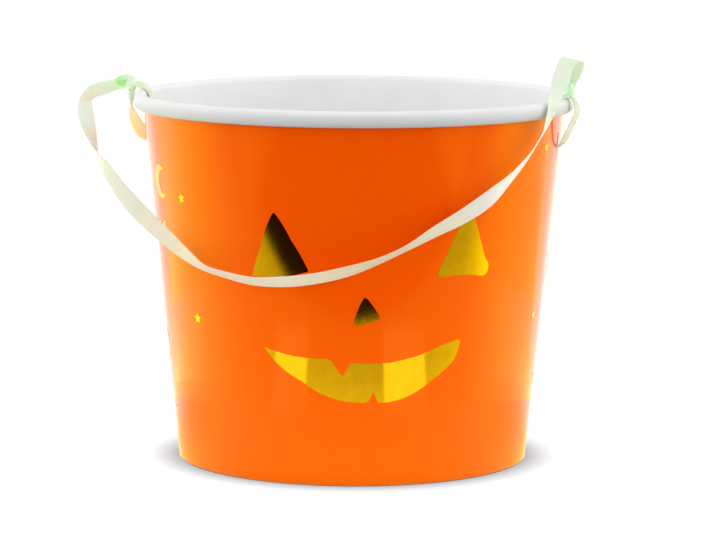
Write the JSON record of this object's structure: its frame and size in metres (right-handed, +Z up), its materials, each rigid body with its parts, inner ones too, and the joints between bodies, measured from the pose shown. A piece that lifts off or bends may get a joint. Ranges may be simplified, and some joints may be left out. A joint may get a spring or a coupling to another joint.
{
  "type": "candy pail",
  "caption": "Round tapered paperboard party pail with a rolled white rim, a gold foil lantern face and a satin ribbon handle tied through slots below the rim.",
  "frame": {"origin": "centre of the foot, on the surface the pail stands on", "axes": "+Z up along the pail's axis, -Y towards the lantern face, +X to the right of someone who looks at the face"},
  "size_m": [0.1853, 0.162, 0.1503],
  "materials": {
    "white_board": "coated paperboard, white, faint sheen",
    "orange_print": "printed and laminated paper, glossy orange",
    "gold_foil": "hot stamped foil, mirror-like gold",
    "satin_ribbon": "woven satin, cream"
  },
  "bodies": {
    "pail": {"sidewall": "white_board", "printed_wrap": "orange_print", "floor_disc": "white_board", "foil_left_eye": "gold_foil", "foil_right_eye": "gold_foil", "foil_nose": "gold_foil", "foil_mouth": "gold_foil", "foil_moons": "gold_foil", "foil_stars": "gold_foil", "ribbon_loop_right": "satin_ribbon", "ribbon_knot_left": "satin_ribbon", "ribbon_knot_right": "satin_ribbon", "ribbon_turn_left": "satin_ribbon", "ribbon_turn_right": "satin_ribbon"},
    "handle": {"ribbon_handle": "satin_ribbon"}
  },
  "joints": [
    {"name": "handle_swing", "type": "hinge", "parent": "pail", "child": "handle", "pos_m": [-0.0027, -0.0059, 0.137], "axis": [-0.9831, 0.1833, 0], "range_deg": [0, 180], "deforming": ["ribbon_loop_right"]}
  ]
}
